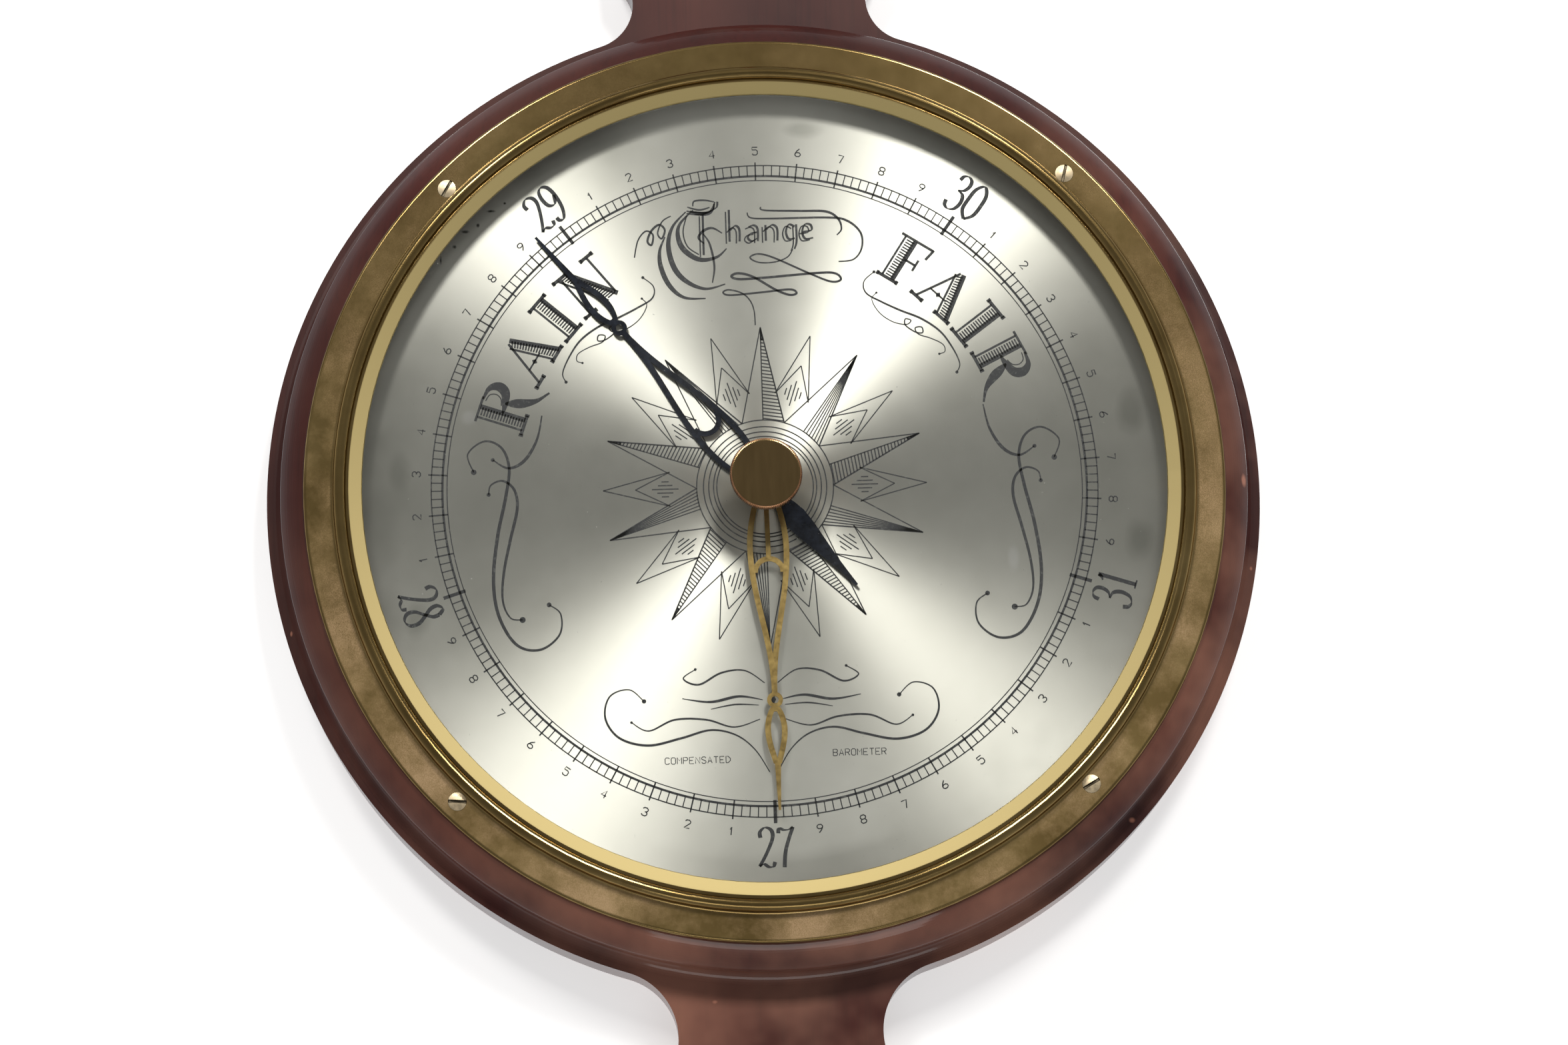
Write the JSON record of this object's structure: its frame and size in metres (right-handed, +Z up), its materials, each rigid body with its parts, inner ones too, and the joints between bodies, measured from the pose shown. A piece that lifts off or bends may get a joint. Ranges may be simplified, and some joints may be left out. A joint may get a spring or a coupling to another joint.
{
  "type": "wall aneroid barometer",
  "caption": "Banjo-shaped wall aneroid barometer: wooden case, brass bezel, silvered dial, pointer and set hand, with its spring, lever and chain movement.",
  "frame": {"origin": "centre of the hanging eye, on the wall plane at the back of the case", "axes": "+Z up the case as it hangs, -Y out of the wall and out of the dial, +X to the right of someone reading the dial"},
  "size_m": [0.2488, 0.0429, 0.5098],
  "materials": {
    "mahogany": "dark red-brown mahogany under a glossy lacquer",
    "aged_brass": "lacquered brass, aged and spotted",
    "bright_brass": "turned brass",
    "hand_brass": "dull brass",
    "steel": "plain steel",
    "zinc_plate": "zinc-plated pressed steel",
    "blued_steel": "blued steel",
    "silvered_dial": "silvered, circular-brushed",
    "nickel_silver": "pressed nickel silver",
    "bronzed_cap": "dark bronzed brass, polished",
    "glass": "clear glass",
    "red_spirit": "red spirit"
  },
  "bodies": {
    "case": {"case_board": "mahogany", "dial_moulding": "mahogany", "moulding_screws": "steel", "back_cover": "zinc_plate", "back_cover_screws": "steel", "hanger_plate": "aged_brass", "hanger_screws": "aged_brass", "bezel": "aged_brass", "bezel_screws": "bright_brass", "glass": "glass", "glass_retaining_ring": "steel", "dial": "silvered_dial", "dial_feet": "bright_brass", "dial_nuts": "bright_brass", "dial_pan": "zinc_plate", "pan_screws": "steel", "friction_washer": "bright_brass", "glass_bush": "bright_brass", "hairspring": "blued_steel", "hairspring_stud": "bright_brass", "top_bridge": "bright_brass", "lower_bridge": "bright_brass", "bridge_pillars": "bright_brass", "bridge_screws": "blued_steel", "movement_base": "bright_brass", "base_screws": "steel", "capsule": "nickel_silver", "capsule_stud": "bright_brass", "spring_block": "bright_brass", "spring_clamp": "steel", "spring_screws": "blued_steel", "shaft_brackets": "bright_brass", "thermometer_plate": "silvered_dial", "thermometer_tube": "glass", "thermometer_spirit": "red_spirit", "tube_clips": "aged_brass", "thermometer_screws": "bright_brass"},
    "pointer": {"pointer": "blued_steel", "pointer_collet": "blued_steel", "arbor": "steel", "chain_drum": "bright_brass", "hairspring_collet": "bright_brass"},
    "set_hand": {"set_knob": "bronzed_cap", "set_spindle": "bright_brass", "set_hand": "hand_brass", "set_hand_collet": "hand_brass"},
    "spring": {"main_spring": "blued_steel", "main_lever": "bright_brass"},
    "post": {"capsule_post": "steel", "spring_pin": "steel"},
    "link": {"link_rod": "steel"},
    "rocker": {"rocking_shaft": "steel"},
    "chain": {"fusee_chain": "steel"},
    "adjuster": {"adjusting_screw": "bright_brass"}
  },
  "joints": [
    {"name": "pointer_turn", "type": "hinge", "parent": "case", "child": "pointer", "pos_m": [0, -0.02, -0.288], "axis": [0, 1, 0], "range_deg": [-135, 215], "stiffness_Nm_per_rad": 0.00002},
    {"name": "set_hand_turn", "type": "hinge", "parent": "case", "child": "set_hand", "pos_m": [0, -0.034, -0.288], "axis": [0, 1, 0], "continuous": true},
    {"name": "spring_tilt", "type": "hinge", "parent": "case", "child": "spring", "pos_m": [-0.024, -0.0145, -0.288], "axis": [0, 0, 1], "range_deg": [-1.1, 1.6]},
    {"name": "post_slide", "type": "slide", "parent": "case", "child": "post", "axis": [0, 1, 0], "range_m": [-0.0004, 0.0006]},
    {"name": "link_slide", "type": "slide", "parent": "case", "child": "link", "axis": [0, 1, 0], "range_m": [-0.0008, 0.0012]},
    {"name": "rocker_turn", "type": "hinge", "parent": "case", "child": "rocker", "pos_m": [0.033, -0.008, -0.288], "axis": [0, 0, -1], "range_deg": [-14, 22]},
    {"name": "chain_slide", "type": "slide", "parent": "case", "child": "chain", "axis": [-1, 0, 0], "range_m": [-0.0032, 0.005]},
    {"name": "adjuster_turn", "type": "hinge", "parent": "case", "child": "adjuster", "pos_m": [-0.029, -0.006, -0.288], "axis": [0, 1, 0], "continuous": true}
  ],
  "couplings": [
    {"joint": "spring_tilt", "follows": "pointer_turn", "ratio": 0.00577},
    {"joint": "post_slide", "follows": "pointer_turn", "m_per_rad": 0.00014},
    {"joint": "link_slide", "follows": "pointer_turn", "m_per_rad": 0.0003},
    {"joint": "rocker_turn", "follows": "pointer_turn", "ratio": 0.1},
    {"joint": "chain_slide", "follows": "pointer_turn", "m_per_rad": 0.0013}
  ]
}
